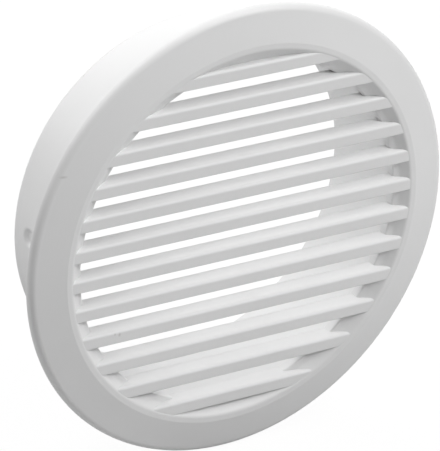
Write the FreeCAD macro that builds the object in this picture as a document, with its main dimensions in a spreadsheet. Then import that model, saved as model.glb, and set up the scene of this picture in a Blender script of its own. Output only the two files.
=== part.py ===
import FreeCAD, Part
import math
import os
import Sketcher

# Round louvred vent cover, moulded in one piece: flange, slats and collar.
# Millimetres. The back of the flange lies on the wall plane y = 0, centred on the origin.
# The face looks along -Y, the collar runs back along +Y, and the slats lie along X.

doc = FreeCAD.newDocument("round_vent_cover")

# Driving sizes
SIZES = [
    ("flange_diameter", 119.2, "outermost edge of the flange, on the wall plane"),
    ("rim_draft", 0.3, "how far the rim leans in from its back edge"),
    ("rim_height", 1.9, "height of the rim at its corner with the face"),
    ("rim_radius", 2.0, "rounding between rim and face"),
    ("land_width", 4.4, "flat ring at the back of the rim that seats on the wall"),
    ("flange_wall", 2.0, "thickness of the flange at its crest, along the axis"),
    ("crest_height", 4.0, "crest and the flat land inside it, in front of the wall plane"),
    ("crest_offset", 1.9, "crest, outside the collar wall"),
    ("crest_land", 1.55, "width of the flat land between crest and bevel"),
    ("brow_radius", 1.2, "rounding between the flat land and the bevel"),
    ("bevel_width", 2.25, "how far the steep part of the bevel runs in"),
    ("bevel_foot", 2.2, "foot of the steep part of the bevel, in front of the wall plane"),
    ("lip_height", 1.5, "corner of bevel and opening, in front of the wall plane"),
    ("lip_radius", 0.6, "rounding between bevel and opening"),
    ("collar_diameter", 97.0, "outside of the collar, which enters the duct"),
    ("collar_wall", 2.4, "thickness of the collar behind the slats"),
    ("shoulder_step", 0.9, "how much thicker the wall is around the slats"),
    ("shoulder_depth", 2.1, "where the thicker wall ends, behind the wall plane"),
    ("collar_depth", 26.0, "end of the collar, behind the wall plane"),
    ("lead_length", 1.9, "length of the lead-in taper at the collar's end"),
    ("lead_inset", 1.4, "how far the lead-in taper runs in"),
    ("root_size", 1.0, "slant in the corner of collar and flange"),
    ("slat_count", 12, "number of slats"),
    ("slat_pitch", 8.0, "height from slat to slat"),
    ("slat_height", 3.4, "height of a slat's front face"),
    ("slat_depth", 4.9, "depth of a slat, front to back"),
    ("slat_front", 3.9, "front faces of the slats, in front of the wall plane"),
    ("slat_rise", 0.1, "rise of a slat towards the back, which sheds water forwards"),
    ("slat_nose_radius", 0.8, "rounding of a slat's top front edge"),
    ("slat_edge_radius", 0.3, "rounding of a slat's other edges"),
    ("slat_root", 1.1, "how far a slat's end runs into the ring"),
    ("dimple_diameter", 5.0, "mouth of the screw dimple in the collar"),
    ("dimple_floor", 3.0, "floor diameter of the screw dimple"),
    ("dimple_depth", 0.8, "depth of the screw dimple"),
    ("dimple_position", 17.2, "centre of the screw dimple, behind the wall plane"),
]

sheet = doc.addObject("Spreadsheet::Sheet", "Sizes")
for row, (alias, value, meaning) in enumerate(SIZES, start=1):
    sheet.set("A%d" % row, alias)
    sheet.set("B%d" % row, str(value))
    sheet.setAlias("B%d" % row, alias)
    sheet.set("C%d" % row, meaning)
doc.recompute()

# Places that several sketches share, worked out from the driving sizes
FLANGE = "Sizes.flange_diameter / 2"
COLLAR = "Sizes.collar_diameter / 2"
BORE = "(Sizes.collar_diameter / 2 - Sizes.collar_wall)"
OPENING = "(Sizes.collar_diameter / 2 - Sizes.collar_wall - Sizes.shoulder_step)"
CREST = "(Sizes.collar_diameter / 2 + Sizes.crest_offset)"
BROW = "(Sizes.collar_diameter / 2 + Sizes.crest_offset - Sizes.crest_land)"
FLANGE_BACK = "(Sizes.flange_wall - Sizes.crest_height)"
SLAT_BACK = "(Sizes.slat_depth - Sizes.slat_front)"
LOWEST_SLAT = "(1 - Sizes.slat_count) / 2 * Sizes.slat_pitch"


# Sketch helpers
def origin_feature(body, role):
    """The plane or axis of the body's own origin that has this role."""
    return next(f for f in body.Origin.OriginFeatures if f.Role == role)


def new_sketch(body, name, role):
    """An empty sketch on one of the body's origin planes."""
    sketch = body.newObject("Sketcher::SketchObject", name)
    sketch.AttachmentSupport = (origin_feature(body, role), "")
    sketch.MapMode = "FlatFace"
    return sketch


def drive(sketch, constraint, name, expression):
    """Add a named dimension and bind it to the sheet."""
    index = sketch.addConstraint(constraint)
    sketch.renameConstraint(index, name)
    sketch.setExpression("Constraints." + name, expression)


def fix_point(sketch, geometry, end, name, x_expression, y_expression):
    """Hold one point at a place that the sheet gives, with only positive dimensions."""
    for axis, line, expression in (("X", -2, x_expression), ("Y", -1, y_expression)):
        value = float(sketch.evalExpression(expression))
        label = name + "_" + axis.lower()
        if abs(value) < 1e-9:
            sketch.addConstraint(Sketcher.Constraint("PointOnObject", geometry, end, line))
        elif value > 0:
            dimension = Sketcher.Constraint("Distance" + axis, -1, 1, geometry, end, value)
            drive(sketch, dimension, label, expression)
        else:
            dimension = Sketcher.Constraint("Distance" + axis, geometry, end, -1, 1, -value)
            drive(sketch, dimension, label, "-(%s)" % expression)


def rounding(before, corner, after, radius):
    """The arc that rounds a corner, and which of its ends comes first along the outline."""
    back = (before - corner).normalize()
    ahead = (after - corner).normalize()
    half = back.getAngle(ahead) / 2
    reach = radius / math.tan(half)
    middle = corner + (back + ahead).normalize() * (radius / math.sin(half))
    first = corner + back * reach - middle
    last = corner + ahead * reach - middle
    turns_left = back.cross(ahead).z < 0
    start, stop = (first, last) if turns_left else (last, first)
    circle = Part.Circle(middle, FreeCAD.Vector(0, 0, 1), radius)
    arc = Part.ArcOfCircle(circle, math.atan2(start.y, start.x), math.atan2(stop.y, stop.x))
    return arc, (1, 2) if turns_left else (2, 1)


def outline(sketch, corners):
    """A closed outline of straight lines through named corners, each sharp or rounded.

    A corner is (name, x, y, radius): expressions on the sheet, with radius None where it is sharp.
    """
    points = []
    for name, x, y, radius in corners:
        points.append(FreeCAD.Vector(sketch.evalExpression(x), sketch.evalExpression(y), 0))
    count = len(corners)
    arcs = {}
    for i, (name, x, y, radius) in enumerate(corners):
        if radius:
            size = float(sketch.evalExpression(radius))
            arcs[i] = rounding(points[i - 1], points[i], points[(i + 1) % count], size)
    lines = []
    for i in range(count):
        following = (i + 1) % count
        start = points[i]
        stop = points[following]
        if i in arcs:
            arc, ends = arcs[i]
            start = arc.EndPoint if ends[1] == 2 else arc.StartPoint
        if following in arcs:
            arc, ends = arcs[following]
            stop = arc.StartPoint if ends[0] == 1 else arc.EndPoint
        lines.append(sketch.addGeometry(Part.LineSegment(start, stop)))
    for i, (name, x, y, radius) in enumerate(corners):
        arriving = lines[i - 1]
        leaving = lines[i]
        if i not in arcs:
            sketch.addConstraint(Sketcher.Constraint("Coincident", arriving, 2, leaving, 1))
            fix_point(sketch, leaving, 1, name, x, y)
            continue
        arc, ends = arcs[i]
        bend = sketch.addGeometry(arc)
        sketch.addConstraint(Sketcher.Constraint("Tangent", arriving, 2, bend, ends[0]))
        sketch.addConstraint(Sketcher.Constraint("Tangent", bend, ends[1], leaving, 1))
        drive(sketch, Sketcher.Constraint("Radius", bend, arc.Radius), name + "_round", radius)
        corner = sketch.addGeometry(Part.Point(points[i]), True)
        sketch.addConstraint(Sketcher.Constraint("PointOnObject", corner, 1, arriving))
        sketch.addConstraint(Sketcher.Constraint("PointOnObject", corner, 1, leaving))
        fix_point(sketch, corner, 1, name, x, y)
    return lines


# The cover
cover = doc.addObject("PartDesign::Body", "vent_cover")
cover.Label = "vent_cover"

# Slat section, front face to the left, drawn at the lowest slat
slat_section = new_sketch(cover, "SlatSection", "YZ_Plane")
slat_bottom = "(%s - Sizes.slat_height / 2)" % LOWEST_SLAT
slat_top = "(%s + Sizes.slat_height / 2)" % LOWEST_SLAT
outline(slat_section, [
    ("bottom_front", "-Sizes.slat_front", slat_bottom, "Sizes.slat_edge_radius"),
    ("bottom_back", SLAT_BACK, slat_bottom + " + Sizes.slat_rise", "Sizes.slat_edge_radius"),
    ("top_back", SLAT_BACK, slat_top + " + Sizes.slat_rise", "Sizes.slat_edge_radius"),
    ("top_front", "-Sizes.slat_front", slat_top, "Sizes.slat_nose_radius"),
])
slat = cover.newObject("PartDesign::Pad", "Slat")
slat.Profile = slat_section
slat.SideType = "Symmetric"
slat.setExpression("Length", "Sizes.flange_diameter")
doc.recompute()

# The row of slats
slats = cover.newObject("PartDesign::LinearPattern", "Slats")
slats.Originals = [slat]
slats.Direction = (origin_feature(cover, "Z_Axis"), [""])
slats.Mode = "Spacing"
slats.setExpression("Offset", "Sizes.slat_pitch")
slats.setExpression("Occurrences", "Sizes.slat_count")
cover.Tip = slats
doc.recompute()

# Slat ends, cut back to a surface that lies inside the ring: along the bevel, then the opening
slat_end = OPENING + " + Sizes.slat_root"
trim_section = new_sketch(cover, "SlatEnds", "XY_Plane")
outline(trim_section, [
    ("behind", slat_end, "Sizes.collar_depth", None),
    ("lip", slat_end, "-Sizes.lip_height", None),
    ("land", CREST + " - Sizes.crest_land / 2", "-Sizes.crest_height", None),
    ("front_outside", "Sizes.flange_diameter", "-Sizes.crest_height", None),
    ("back_outside", "Sizes.flange_diameter", "Sizes.collar_depth", None),
])
trim = cover.newObject("PartDesign::Groove", "SlatTrim")
trim.Profile = trim_section
trim.ReferenceAxis = (trim_section, ["V_Axis"])
trim.Angle = 360
doc.recompute()
untrimmed_volume = slats.Shape.Volume
trimmed_volume = trim.Shape.Volume

# Ring: rim, conical face, flat crest, bevel and collar, turned about the vent's axis
# Around the slats its wall is thicker, up to a slanted shoulder just behind them
ring_section = new_sketch(cover, "RingSection", "XY_Plane")
outline(ring_section, [
    ("rim_edge", FLANGE, "0", None),
    ("land_edge", FLANGE + " - Sizes.land_width", "0", None),
    ("root_flange", COLLAR + " + Sizes.root_size", FLANGE_BACK, None),
    ("root_collar", COLLAR, FLANGE_BACK + " + Sizes.root_size", None),
    ("lead_start", COLLAR, "Sizes.collar_depth - Sizes.lead_length", None),
    ("lead_end", COLLAR + " - Sizes.lead_inset", "Sizes.collar_depth", None),
    ("collar_inside", BORE, "Sizes.collar_depth", None),
    ("shoulder_back", BORE, "Sizes.shoulder_depth", None),
    ("shoulder_front", OPENING, "Sizes.shoulder_depth - Sizes.shoulder_step", None),
    ("lip", OPENING, "-Sizes.lip_height", "Sizes.lip_radius"),
    ("foot", BROW + " - Sizes.bevel_width", "-Sizes.bevel_foot", None),
    ("brow", BROW, "-Sizes.crest_height", "Sizes.brow_radius"),
    ("crest", CREST, "-Sizes.crest_height", None),
    ("rim", FLANGE + " - Sizes.rim_draft", "-Sizes.rim_height", "Sizes.rim_radius"),
])
ring = cover.newObject("PartDesign::Revolution", "Ring")
ring.Profile = ring_section
ring.ReferenceAxis = (ring_section, ["V_Axis"])
ring.Angle = 360
doc.recompute()
undimpled_volume = ring.Shape.Volume

# Screw dimple in the collar's side, and its twin opposite
dimple_section = new_sketch(cover, "DimpleSection", "XY_Plane")
dimple_flat = COLLAR + " - Sizes.dimple_depth"
dimple_outside = COLLAR + " + Sizes.dimple_depth"
dimple_mouth = "(Sizes.dimple_diameter - Sizes.dimple_floor / 2)"
dimple_lines = outline(dimple_section, [
    ("floor_centre", dimple_flat, "Sizes.dimple_position", None),
    ("mouth_centre", dimple_outside, "Sizes.dimple_position", None),
    ("mouth_edge", dimple_outside, "Sizes.dimple_position + " + dimple_mouth, None),
    ("floor_edge", dimple_flat, "Sizes.dimple_position + Sizes.dimple_floor / 2", None),
])
dimple = cover.newObject("PartDesign::Groove", "Dimple")
dimple.Profile = dimple_section
dimple.ReferenceAxis = (dimple_section, ["Edge%d" % (dimple_lines[0] + 1)])
dimple.Angle = 360
doc.recompute()
dimples = cover.newObject("PartDesign::Mirrored", "Dimples")
dimples.Originals = [dimple]
dimples.MirrorPlane = (origin_feature(cover, "YZ_Plane"), [""])
cover.Tip = dimples
doc.recompute()

# Every feature has to be sound before anything is written
for item in doc.Objects:
    if "Invalid" in item.State or "Error" in item.State:
        raise RuntimeError("failed: %s %s" % (item.Name, item.State))
for sketch in (slat_section, trim_section, ring_section, dimple_section):
    if not sketch.FullyConstrained:
        raise RuntimeError("not fully constrained: " + sketch.Name)
if not trimmed_volume < untrimmed_volume:
    raise RuntimeError("the slat ends were not cut back")
if not cover.Shape.Volume < undimpled_volume:
    raise RuntimeError("the dimples cut nothing")
if cover.Shape.isNull() or not cover.Shape.isValid() or len(cover.Shape.Solids) != 1:
    raise RuntimeError("the cover is not one sound solid")

os.makedirs("parts", exist_ok=True)
cover.Shape.exportStep("parts/%s.step" % cover.Label)
box = cover.Shape.optimalBoundingBox(False)
print("vent_cover volume %.1f mm3" % cover.Shape.Volume)
print("box x %.2f %.2f y %.2f %.2f z %.2f %.2f"
      % (box.XMin, box.XMax, box.YMin, box.YMax, box.ZMin, box.ZMax))
print("one dimple removes %.2f mm3" % ((undimpled_volume - cover.Shape.Volume) / 2))
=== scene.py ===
import math

import bpy
import numpy as np
from mathutils import Matrix, Vector


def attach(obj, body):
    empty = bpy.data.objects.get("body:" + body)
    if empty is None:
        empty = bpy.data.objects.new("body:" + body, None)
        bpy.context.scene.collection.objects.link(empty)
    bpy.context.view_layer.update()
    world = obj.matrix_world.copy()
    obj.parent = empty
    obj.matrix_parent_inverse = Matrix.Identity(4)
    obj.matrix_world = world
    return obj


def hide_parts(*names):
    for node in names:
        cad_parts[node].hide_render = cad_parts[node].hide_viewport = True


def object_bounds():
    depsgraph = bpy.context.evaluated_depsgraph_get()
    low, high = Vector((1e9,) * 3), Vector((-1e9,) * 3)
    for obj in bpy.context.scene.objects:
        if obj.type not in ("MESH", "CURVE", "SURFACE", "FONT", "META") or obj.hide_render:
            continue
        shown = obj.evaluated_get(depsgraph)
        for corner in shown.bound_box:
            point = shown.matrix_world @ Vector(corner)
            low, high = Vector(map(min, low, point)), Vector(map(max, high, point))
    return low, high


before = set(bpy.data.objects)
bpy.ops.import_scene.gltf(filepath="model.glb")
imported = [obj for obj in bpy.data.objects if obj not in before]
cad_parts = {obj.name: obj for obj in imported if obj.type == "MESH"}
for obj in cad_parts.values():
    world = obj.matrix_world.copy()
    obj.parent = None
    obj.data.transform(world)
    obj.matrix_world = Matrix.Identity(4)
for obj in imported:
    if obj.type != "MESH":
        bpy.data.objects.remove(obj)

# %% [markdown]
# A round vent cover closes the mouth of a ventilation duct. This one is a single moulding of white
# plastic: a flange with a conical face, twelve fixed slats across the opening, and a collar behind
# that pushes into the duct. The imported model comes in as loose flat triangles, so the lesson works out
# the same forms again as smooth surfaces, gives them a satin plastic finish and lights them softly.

cad_box = [list(corner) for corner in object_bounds()]
print("packed model, lowest and highest corner in m:", np.round(cad_box, 4).tolist())

# %% [markdown]
# Lengths are in millimetres. y = 0 is the plane of the wall: the face of the cover lies in front of it
# at negative y, and the collar goes back from it into the duct. The slats lie along x, and z points up.
# The overall sizes could be typed in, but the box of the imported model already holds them. Read from
# there, they keep the smooth pieces as large as the model that they replace.

# %% Overall sizes from the box
lowest, highest = np.round(1000 * np.array(cad_box), 2).tolist()
FLANGE_RADIUS = max(highest[0], highest[2])
COLLAR_DEPTH = highest[1]
CREST_Y = lowest[1]
print("flange radius", FLANGE_RADIUS, "collar depth", COLLAR_DEPTH, "crest at y", CREST_Y, "mm")

# %% [markdown]
# Ring and slats both start from a closed outline whose corners are rounded, because a mould can't leave
# a knife edge. A Bevel modifier could round the corners afterwards, but arcs in the outline itself give
# each corner its own radius. Where a straight run meets an arc, one more point sits close to the joint:
# smooth shading then turns only within the arc, and the long cone of the face keeps its even tone.

# %% Rounded outlines
JOINT_GAP = 0.12  # from a joint to the extra point beside it
ARC_STEP = 9  # degrees between the points of an arc


def straight_run(start, stop, spacing):
    """Points from start to stop: start + share * (stop - start), with one share close to each end."""
    length = np.hypot(*(stop - start))
    close = min(JOINT_GAP / length, 0.25)
    shares = np.linspace(0, 1, max(int(length / spacing), 1) + 1)
    shares = np.unique(np.concatenate([shares, [close, 1 - close]]))
    return start + shares[:, None] * (stop - start)


def corner_arc(before, corner, after, radius):
    """The arc that rounds a corner, as points without its two ends, and where it touches both sides.

    With half the corner's angle h, the arc's centre lies radius / sin(h) along the bisector and the arc
    touches both sides radius / tan(h) from the corner. Points go evenly from one touch to the other.
    """
    back = (before - corner) / np.hypot(*(before - corner))
    ahead = (after - corner) / np.hypot(*(after - corner))
    half = math.acos(np.clip(back @ ahead, -1, 1)) / 2
    bisector = (back + ahead) / np.hypot(*(back + ahead))
    centre = corner + bisector * radius / math.sin(half)
    first = corner + back * radius / math.tan(half)
    last = corner + ahead * radius / math.tan(half)
    start = math.atan2(*(first - centre)[::-1])
    turn = (math.atan2(*(last - centre)[::-1]) - start + math.pi) % (2 * math.pi) - math.pi
    steps = max(int(abs(math.degrees(turn)) / ARC_STEP), 3)
    angles = start + turn * np.linspace(0, 1, steps + 1)
    arc = centre + radius * np.stack([np.cos(angles), np.sin(angles)], axis=1)
    return arc[1:-1], first, last


def rounded_outline(corners, spacing):
    """A closed outline: each corner (first, second, radius) is an arc, and straight runs join the arcs."""
    places = np.array([corner[:2] for corner in corners], float)
    count = len(corners)
    arcs = [
        corner_arc(places[i - 1], places[i], places[(i + 1) % count], corners[i][2])
        for i in range(count)
    ]
    runs = []
    for i in range(count):
        arc, first, last = arcs[i]
        runs += [arc, straight_run(last, arcs[(i + 1) % count][1], spacing)]
    return np.concatenate(runs)


sample = rounded_outline([(0, 0, 1), (10, 0, 1), (10, 10, 1), (0, 10, 1)], spacing=1)
print("a rounded square of 10 mm has", len(sample), "points")

# %% [markdown]
# A surface here is a grid of points, worked out as whole arrays. Its columns close on themselves, and so
# can its rows, so the faces are found by rolling the array of point numbers one step along each axis. The
# signed volume tells which way the faces look: a negative one means that they look inwards, and turning
# the order of the corners puts that right.


# %% From a grid of points to a mesh
def grid_faces(rows, columns, wrap_rows):
    """Quads between neighbouring points of a grid: columns close on themselves, rows only if told to."""
    numbers = np.arange(rows * columns).reshape(rows, columns)
    across = np.roll(numbers, -1, axis=1)
    below = np.roll(numbers, -1, axis=0)
    corner = np.roll(across, -1, axis=0)
    faces = np.stack([numbers, across, corner, below], axis=-1)
    return (faces if wrap_rows else faces[:-1]).reshape(-1, 4)


def signed_volume(points, faces):
    """Sum of corner dot (corner cross corner) over both triangles of each quad, divided by 6."""
    a, b, c, d = (points[faces[:, i]] for i in range(4))
    first = np.einsum("ij,ij->i", a, np.cross(b, c))
    second = np.einsum("ij,ij->i", a, np.cross(c, d))
    return (first + second).sum() / 6


def make_piece(name, points, faces, caps=()):
    """A smooth mesh object at the origin from points in millimetres, quads, and whole end faces."""
    mesh = bpy.data.meshes.new(name)
    mesh.from_pydata((points / 1000).tolist(), [], faces.tolist() + [cap.tolist() for cap in caps])
    mesh.validate()
    mesh.shade_smooth()
    piece = bpy.data.objects.new(name, mesh)
    bpy.context.scene.collection.objects.link(piece)
    print(name, "has", len(mesh.vertices), "points and", len(mesh.polygons), "faces")
    return piece


# %% [markdown]
# The ring is the flange, the bevel and the collar in one. Its section is turned about the vent's axis, as
# on a lathe. A Screw modifier could turn it, but an array of angles leaves room for the dimples of the
# next step. Going round the section: the flat land that seats on the wall, the shallow hollow behind the
# face, the slanted root, the collar with its lead-in taper, the bore, the step to the thicker wall around
# the slats, the soft lip, the bevel in two slopes with its rounded brow, a narrow flat land, the crest,
# the conical face and the soft rim. The foot of the bevel has the largest rounding, so that the light
# fades over it without a line.

# %% Section of the ring
LAND_WIDTH, FLANGE_WALL = 4.4, 2.0
COLLAR_RADIUS, COLLAR_WALL = 48.5, 2.4
ROOT_SIZE = 1.0
LEAD_LENGTH, LEAD_INSET = 1.9, 1.4
SHOULDER_Y, SHOULDER_STEP = 2.1, 0.9
LIP_Y, FOOT_Y, RIM_Y = -1.5, -2.2, -1.9
CREST_OFFSET, CREST_LAND, BEVEL_WIDTH = 1.9, 1.55, 2.25
RIM_DRAFT = 0.3
BORE_RADIUS = COLLAR_RADIUS - COLLAR_WALL
OPENING_RADIUS = BORE_RADIUS - SHOULDER_STEP
CREST_RADIUS = COLLAR_RADIUS + CREST_OFFSET
BROW_RADIUS = CREST_RADIUS - CREST_LAND
FOOT_RADIUS = BROW_RADIUS - BEVEL_WIDTH
BACK_EDGE, EDGE_BREAK, END_BREAK, ROOT_ROUND, LEAD_ROUND = 0.25, 0.3, 0.35, 0.5, 0.6
LIP_ROUND, FOOT_ROUND, BROW_ROUND, CREST_ROUND, RIM_ROUND = 0.6, 3.0, 1.2, 0.5, 2.0

ring_section = rounded_outline(
    [
        (FLANGE_RADIUS, 0.0, BACK_EDGE),
        (FLANGE_RADIUS - LAND_WIDTH, 0.0, EDGE_BREAK),
        (COLLAR_RADIUS + ROOT_SIZE, -FLANGE_WALL, ROOT_ROUND),
        (COLLAR_RADIUS, ROOT_SIZE - FLANGE_WALL, ROOT_ROUND),
        (COLLAR_RADIUS, COLLAR_DEPTH - LEAD_LENGTH, LEAD_ROUND),
        (COLLAR_RADIUS - LEAD_INSET, COLLAR_DEPTH, END_BREAK),
        (BORE_RADIUS, COLLAR_DEPTH, EDGE_BREAK),
        (BORE_RADIUS, SHOULDER_Y, EDGE_BREAK),
        (OPENING_RADIUS, SHOULDER_Y - SHOULDER_STEP, EDGE_BREAK),
        (OPENING_RADIUS, LIP_Y, LIP_ROUND),
        (FOOT_RADIUS, FOOT_Y, FOOT_ROUND),
        (BROW_RADIUS, CREST_Y, BROW_ROUND),
        (CREST_RADIUS, CREST_Y, CREST_ROUND),
        (FLANGE_RADIUS - RIM_DRAFT, RIM_Y, RIM_ROUND),
    ],
    spacing=0.45,
)
print("the section has", len(ring_section), "points, from radius",
      round(ring_section[:, 0].min(), 2), "to", round(ring_section[:, 0].max(), 2), "mm")

# %% [markdown]
# Two small round dimples mark where a screw can go through the collar, one on each side. They could be
# cut with a Boolean, but the collar's surface is already a function of an angle and a height, so the
# radius is simply made smaller within the dimple. The angles are not even: subtracting a sine packs the
# columns close together near both dimples and spreads them at top and bottom.

# %% Turning the section, with the dimples
DIMPLE_Y = 17.2
DIMPLE_MOUTH, DIMPLE_FLOOR, DIMPLE_DEPTH = 2.5, 1.5, 0.8
DIMPLE_EASE = 0.1  # by how much its slope runs out past mouth and floor
PACKING = 0.36


def turned_ring(section, columns=360):
    """x = r cos a, y = y, z = r sin a for each section point (r, y) and angle a = t - PACKING sin(2 t).

    On the collar's outside, r loses the dimple's depth times a smooth step of the distance to its centre.
    """
    t = np.linspace(0, 2 * math.pi, columns, endpoint=False)
    angle = t - PACKING * np.sin(2 * t)
    radius = np.repeat(section[:, :1], columns, axis=1)
    height = np.repeat(section[:, 1:], columns, axis=1)
    along = COLLAR_RADIUS * (np.mod(angle + math.pi / 2, math.pi) - math.pi / 2)
    distance = np.hypot(along[None, :], height - DIMPLE_Y)
    slope = DIMPLE_MOUTH - DIMPLE_FLOOR + 2 * DIMPLE_EASE
    step = np.clip((DIMPLE_MOUTH + DIMPLE_EASE - distance) / slope, 0, 1)
    outside = radius > (BORE_RADIUS + COLLAR_RADIUS) / 2
    radius = radius - outside * DIMPLE_DEPTH * step * step * (3 - 2 * step)
    return np.stack([radius * np.cos(angle), height, radius * np.sin(angle)], axis=-1)


ring_grid = turned_ring(ring_section)
ring_points = ring_grid.reshape(-1, 3)
ring_faces = grid_faces(*ring_grid.shape[:2], wrap_rows=True)
if signed_volume(ring_points, ring_faces) < 0:
    ring_faces = ring_faces[:, ::-1]
ring = make_piece("vent_cover_ring", ring_points, ring_faces)
print("ring volume", round(signed_volume(ring_points, ring_faces) / 1000, 2), "cm3")

# %% [markdown]
# Each slat is a bar with one section all along: a flat front, a soft top front edge, and a top that rises
# a little towards the back so that rain runs off forwards. The section is another rounded outline, drawn
# from the side as y and z, with the largest rounding at the top front edge.

# %% Section of a slat
SLAT_FRONT, SLAT_DEPTH, SLAT_HEIGHT, SLAT_RISE = -3.9, 4.9, 3.4, 0.1
SLAT_NOSE, SLAT_EDGE = 0.8, 0.3
slat_back = SLAT_FRONT + SLAT_DEPTH
slat_section = rounded_outline(
    [
        (SLAT_FRONT, -SLAT_HEIGHT / 2, SLAT_EDGE),
        (slat_back, -SLAT_HEIGHT / 2 + SLAT_RISE, SLAT_EDGE),
        (slat_back, SLAT_HEIGHT / 2 + SLAT_RISE, SLAT_EDGE),
        (SLAT_FRONT, SLAT_HEIGHT / 2, SLAT_NOSE),
    ],
    spacing=0.5,
)
print("the slat's section has", len(slat_section), "points")

# %% [markdown]
# The ends of the slats run into the ring. An Array modifier could repeat one bar, but every bar has its
# own length, so all twelve are worked out together: the end of each line along the bar is where it meets
# a surface that lies just inside the ring's bevel. The rows lie closer together near the ends, where the
# shape meets the ring.

# %% Slats, with their ends inside the ring
SLAT_COUNT, SLAT_PITCH = 12, 8.0
SLAT_ROOT = 1.1  # how deep the ends reach into the ring behind the lip


def slat_bars(section, shares):
    """x = share * sqrt(R(y)^2 - z^2) for each slat, share and section point (y, z).

    z counts from the vent's axis, so each slat adds its own height to the section's. R is the radius of
    the surface that holds the ends: OPENING_RADIUS + SLAT_ROOT behind the lip, and from there in a
    straight line to the middle of the flat land inside the crest.
    """
    heights = SLAT_PITCH * (np.arange(SLAT_COUNT) - (SLAT_COUNT - 1) / 2)
    y = section[None, None, :, 0]
    z = heights[:, None, None] + section[None, None, :, 1]
    behind = OPENING_RADIUS + SLAT_ROOT
    front = (BROW_RADIUS + CREST_RADIUS) / 2
    forward = np.clip((LIP_Y - y) / (LIP_Y - CREST_Y), 0, 1)
    reach = np.sqrt((behind + forward * (front - behind)) ** 2 - z ** 2)
    return np.stack(np.broadcast_arrays(shares[None, :, None] * reach, y, z), axis=-1)


bar_shares = np.concatenate([[-1, -0.995], np.linspace(-0.985, 0.985, 41), [0.995, 1]])
slat_grid = slat_bars(slat_section, bar_shares)
slat_points = slat_grid.reshape(-1, 3)
rows, columns = slat_grid.shape[1:3]
one_bar = grid_faces(rows, columns, wrap_rows=False)
first_cap = np.arange(columns)[::-1]
last_cap = np.arange(columns) + (rows - 1) * columns
if signed_volume(slat_grid[0].reshape(-1, 3), one_bar) < 0:
    one_bar, first_cap, last_cap = one_bar[:, ::-1], first_cap[::-1], last_cap[::-1]
offsets = np.arange(SLAT_COUNT) * rows * columns
slat_faces = (one_bar[None] + offsets[:, None, None]).reshape(-1, 4)
slat_caps = [cap + offset for offset in offsets for cap in (first_cap, last_cap)]
slats = make_piece("vent_cover_slats", slat_points, slat_faces, slat_caps)
print("slats reach x", np.round(np.abs(slat_points[:, 0]).max(), 2), "mm")

# %% [markdown]
# The finish is satin white plastic. It isn't one flat colour: the tone drifts a little over the moulding,
# the gloss changes where the mould was polished more or less, and a very fine grain breaks up the
# reflections. An image could hold all that, but noise on Object coordinates needs no unwrapping and stays
# on the part from every side.


# %% Shader group for a moulded skin
def moulded_skin_group():
    """Noise on a vector, three times: a slow drift of tone, cloudy gloss, and the height of a fine grain."""
    group = bpy.data.node_groups.new("moulded_skin", "ShaderNodeTree")
    group.interface.new_socket("Vector", in_out="INPUT", socket_type="NodeSocketVector")
    for name, value in (("Tone Scale", 30.0), ("Gloss Scale", 160.0), ("Grain Scale", 2600.0)):
        socket = group.interface.new_socket(name, in_out="INPUT", socket_type="NodeSocketFloat")
        socket.default_value = value
    for name in ("Tone", "Gloss", "Grain"):
        group.interface.new_socket(name, in_out="OUTPUT", socket_type="NodeSocketFloat")
    start = group.nodes.new("NodeGroupInput")
    stop = group.nodes.new("NodeGroupOutput")
    for name, detail in (("Tone", 2.0), ("Gloss", 3.0), ("Grain", 1.0)):
        noise = group.nodes.new("ShaderNodeTexNoise")
        noise.inputs["Detail"].default_value = detail
        group.links.new(start.outputs["Vector"], noise.inputs["Vector"])
        group.links.new(start.outputs[name + " Scale"], noise.inputs["Scale"])
        group.links.new(noise.outputs["Fac"], stop.inputs[name])
    return group


moulded_skin = moulded_skin_group()
skin_outputs = [item.name for item in moulded_skin.interface.items_tree if item.in_out == "OUTPUT"]
print("shader group with outputs", skin_outputs)

# %% [markdown]
# A part that has been handled carries a few tiny marks. Here there is a short scuff at the left of the
# face and two specks on a lower slat. They could be painted, but each is only a soft blob around one
# place: the distance from that place, counted in radii that may differ along x, y and z, fades to nothing
# at one. A group makes the blob, so that every mark is one more node with its own place and radii.


# %% Shader group for a scuff
def scuff_group():
    """One output: 1 minus the length of (vector - place) / radii, and 0 from one radius on."""
    group = bpy.data.node_groups.new("scuff", "ShaderNodeTree")
    for name in ("Vector", "Place", "Radii"):
        group.interface.new_socket(name, in_out="INPUT", socket_type="NodeSocketVector")
    group.interface.new_socket("Mask", in_out="OUTPUT", socket_type="NodeSocketFloat")
    start = group.nodes.new("NodeGroupInput")
    stop = group.nodes.new("NodeGroupOutput")
    away = group.nodes.new("ShaderNodeVectorMath")
    away.operation = "SUBTRACT"
    counted = group.nodes.new("ShaderNodeVectorMath")
    counted.operation = "DIVIDE"
    fade = group.nodes.new("ShaderNodeTexGradient")
    fade.gradient_type = "SPHERICAL"
    group.links.new(start.outputs["Vector"], away.inputs[0])
    group.links.new(start.outputs["Place"], away.inputs[1])
    group.links.new(away.outputs["Vector"], counted.inputs[0])
    group.links.new(start.outputs["Radii"], counted.inputs[1])
    group.links.new(counted.outputs["Vector"], fade.inputs["Vector"])
    group.links.new(fade.outputs["Fac"], stop.inputs["Mask"])
    return group


scuff = scuff_group()
SCUFFS = (  # place and radii in mm
    ((-52.0, -2.2, 25.6), (1.3, 1.5, 0.45)),
    ((-34.6, -3.9, -19.3), (0.5, 1.0, 0.7)),
    ((-35.9, -3.9, -19.0), (0.4, 1.0, 0.4)),
)
print(len(SCUFFS), "scuffs")

# %% [markdown]
# The plastic itself is one Principled shader. The drift of tone goes into its Base Color, which the
# scuffs then darken a little, the cloudy gloss into its Roughness, and the grain through a Bump node into
# its Normal. A Mix node that multiplies keeps the drift visible under each scuff.

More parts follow.
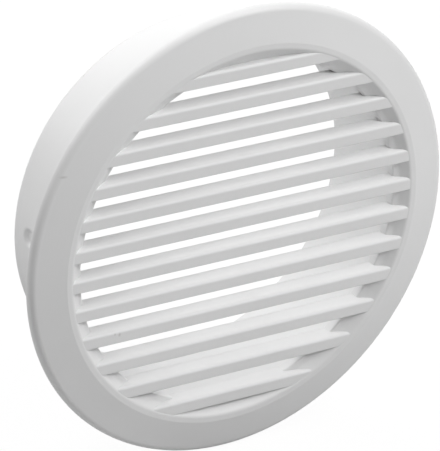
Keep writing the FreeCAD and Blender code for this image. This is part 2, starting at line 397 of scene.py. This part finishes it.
# %% Satin white plastic
WHITE_LOW, WHITE_HIGH = (0.80, 0.80, 0.80, 1), (0.86, 0.86, 0.86, 1)
SCUFF_TINT = (0.78, 0.77, 0.76, 1)
ROUGHNESS_LOW, ROUGHNESS_HIGH = 0.40, 0.52
GRAIN_STRENGTH, GRAIN_HEIGHT = 0.15, 0.05  # the height in mm


def satin_white_plastic():
    """Principled plastic: drifting white with scuffs, cloudy roughness, and a fine grain as bump."""
    material = bpy.data.materials.new("satin_white_plastic")
    material.use_nodes = True
    nodes, links = material.node_tree.nodes, material.node_tree.links
    shader = nodes["Principled BSDF"]
    place = nodes.new("ShaderNodeTexCoord")
    skin = nodes.new("ShaderNodeGroup")
    skin.node_tree = moulded_skin
    links.new(place.outputs["Object"], skin.inputs["Vector"])
    colour = nodes.new("ShaderNodeMix")
    colour.data_type = "RGBA"
    colour.inputs["A"].default_value = WHITE_LOW
    colour.inputs["B"].default_value = WHITE_HIGH
    links.new(skin.outputs["Tone"], colour.inputs["Factor"])
    surface_colour = colour.outputs["Result"]
    for centre, radii in SCUFFS:
        mark = nodes.new("ShaderNodeGroup")
        mark.node_tree = scuff
        mark.inputs["Place"].default_value = [c / 1000 for c in centre]
        mark.inputs["Radii"].default_value = [r / 1000 for r in radii]
        links.new(place.outputs["Object"], mark.inputs["Vector"])
        darker = nodes.new("ShaderNodeMix")
        darker.data_type = "RGBA"
        darker.blend_type = "MULTIPLY"
        darker.inputs["B"].default_value = SCUFF_TINT
        links.new(mark.outputs["Mask"], darker.inputs["Factor"])
        links.new(surface_colour, darker.inputs["A"])
        surface_colour = darker.outputs["Result"]
    links.new(surface_colour, shader.inputs["Base Color"])
    gloss = nodes.new("ShaderNodeMapRange")
    gloss.inputs["To Min"].default_value = ROUGHNESS_LOW
    gloss.inputs["To Max"].default_value = ROUGHNESS_HIGH
    links.new(skin.outputs["Gloss"], gloss.inputs["Value"])
    links.new(gloss.outputs["Result"], shader.inputs["Roughness"])
    bump = nodes.new("ShaderNodeBump")
    bump.inputs["Strength"].default_value = GRAIN_STRENGTH
    bump.inputs["Distance"].default_value = GRAIN_HEIGHT / 1000
    links.new(skin.outputs["Grain"], bump.inputs["Height"])
    links.new(bump.outputs["Normal"], shader.inputs["Normal"])
    return material


white_plastic = satin_white_plastic()
for piece in (ring, slats):
    piece.data.materials.append(white_plastic)
    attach(piece, "root")
    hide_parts("vent_cover")
print("finish on", ring.name, "and", slats.name)

# %% [markdown]
# The floor is plain and pale. The cover stands on the edge of its flange, so the floor lies one flange
# radius below the axis. A plain white plane would be greyer than white paper wherever less light falls.
# So to the camera most of the floor is an even white, and its light back onto the plastic is that of a
# grey table.

# %% Floor
TABLE_GREY, TABLE_ROUGHNESS = (0.5, 0.5, 0.5, 1), 0.8
EVEN_WHITE, EVEN_SHARE = 1.1, 0.85
FLOOR_SIZE = 8  # metres


def pale_floor_material():
    """A rough grey table, mixed for camera rays with a share of even white."""
    material = bpy.data.materials.new("pale_floor")
    material.use_nodes = True
    nodes, links = material.node_tree.nodes, material.node_tree.links
    table = nodes["Principled BSDF"]
    table.inputs["Base Color"].default_value = TABLE_GREY
    table.inputs["Roughness"].default_value = TABLE_ROUGHNESS
    white = nodes.new("ShaderNodeEmission")
    white.inputs["Strength"].default_value = EVEN_WHITE
    seen = nodes.new("ShaderNodeLightPath")
    share = nodes.new("ShaderNodeMath")
    share.operation = "MULTIPLY"
    share.inputs[1].default_value = EVEN_SHARE
    links.new(seen.outputs["Is Camera Ray"], share.inputs[0])
    blend = nodes.new("ShaderNodeMixShader")
    links.new(share.outputs["Value"], blend.inputs["Fac"])
    links.new(table.outputs["BSDF"], blend.inputs[1])
    links.new(white.outputs["Emission"], blend.inputs[2])
    links.new(blend.outputs["Shader"], nodes["Material Output"].inputs["Surface"])
    return material


bpy.ops.mesh.primitive_plane_add(size=FLOOR_SIZE, location=(0, 0, -FLANGE_RADIUS / 1000))
floor = bpy.context.object
floor.name = "floor"
floor.data.materials.append(pale_floor_material())
print("floor at z", round(floor.location.z, 4), "m")

# %% [markdown]
# The surround takes the place of the white paper behind the part. One brightness would do for a quick
# picture, but it would also fill every shadow with light. A Light Path node tells the camera's own rays
# from those that light the part, so the surround is white to look at and gives little light.

# %% Surround
SURROUND_LIGHT, SURROUND_SEEN = 0.05, 1.0
world = bpy.data.worlds.new("studio")
world.use_nodes = True
background = world.node_tree.nodes["Background"]
background.inputs["Color"].default_value = (1, 1, 1, 1)
seen = world.node_tree.nodes.new("ShaderNodeLightPath")
strength = world.node_tree.nodes.new("ShaderNodeMapRange")
strength.inputs["To Min"].default_value = SURROUND_LIGHT
strength.inputs["To Max"].default_value = SURROUND_SEEN
world.node_tree.links.new(seen.outputs["Is Camera Ray"], strength.inputs["Value"])
world.node_tree.links.new(strength.outputs["Result"], background.inputs["Strength"])
bpy.context.scene.world = world
print("surround lights with", SURROUND_LIGHT, "and is seen at", SURROUND_SEEN)

# %% [markdown]
# Four soft area lights stand around the cover. The key comes from the front, right and above and is
# small, so the cone of the face goes from light at the right to shade at the lower left. A second small
# one stands higher and draws the soft edges of the slats. A very wide one above and behind brightens the
# collar's upper side and its inside, and a weak one behind on the right lights the inside's left.


# %% Light
def soft_light(name, direction, size, watts, distance=1.2):
    """A square area light that faces the cover's middle from a direction, with lengths in metres."""
    lamp = bpy.data.lights.new(name, "AREA")
    lamp.size = size
    lamp.energy = watts
    light = bpy.data.objects.new(name, lamp)
    towards = Vector(direction).normalized()
    light.location = towards * distance
    light.rotation_euler = (-towards).to_track_quat("-Z", "Y").to_euler()
    light.visible_camera = False
    bpy.context.scene.collection.objects.link(light)
    return light


lights = (
    soft_light("key", direction=(0.43, -0.62, 0.62), size=0.4, watts=6.9),
    soft_light("high_key", direction=(0.30, -0.35, 0.88), size=0.4, watts=3.9),
    soft_light("wide_behind", direction=(-0.40, 0.54, 0.73), size=1.6, watts=18.4),
    soft_light("behind_right", direction=(0.70, 0.70, 0.20), size=0.9, watts=2.8),
)
print("lights", [light.name for light in lights])

# %% [markdown]
# The camera stands to the left, above the axis, far away with a long lens, as for a catalogue picture. A
# Track To constraint could aim it, but it leaves no roll. So its direction is given by the turn round the
# vertical, the height above the horizon and a small roll, and its place by where the vent's centre lies
# in the camera's own axes, in metres.

# %% Camera
TURN, HEIGHT, ROLL = map(math.radians, (-34.5, 26.12, 4.1))
CENTRE_SEEN = Vector((0.004, -0.00088, -1.14))
FOCAL_PIXELS, IMAGE_HEIGHT = 4680.0, 451
SENSOR_HEIGHT = 24.0

level = math.cos(HEIGHT)
back = Vector((math.sin(TURN) * level, -math.cos(TURN) * level, math.sin(HEIGHT)))
right = Vector((math.cos(TURN), math.sin(TURN), 0))
up = back.cross(right)
rolled_right = math.cos(ROLL) * right + math.sin(ROLL) * up
rolled_up = math.cos(ROLL) * up - math.sin(ROLL) * right
axes = Matrix((rolled_right, rolled_up, back)).transposed()
lens = bpy.data.cameras.new("camera")
lens.sensor_fit = "VERTICAL"
lens.sensor_height = SENSOR_HEIGHT
lens.lens = FOCAL_PIXELS * SENSOR_HEIGHT / IMAGE_HEIGHT
camera = bpy.data.objects.new("camera", lens)
camera.matrix_world = Matrix.Translation(-(axes @ CENTRE_SEEN)) @ axes.to_4x4()
bpy.context.scene.collection.objects.link(camera)
bpy.context.scene.camera = camera
bpy.context.scene.view_settings.view_transform = "Standard"
camera_place = [round(c, 3) for c in camera.matrix_world.translation]
print("camera at", camera_place, "m with a lens of", round(lens.lens, 1), "mm")

# %% [markdown]
# Last, the view layer is brought up to date. The finish doesn't change the size of the part.

# %% Update the view layer
bpy.context.view_layer.update()
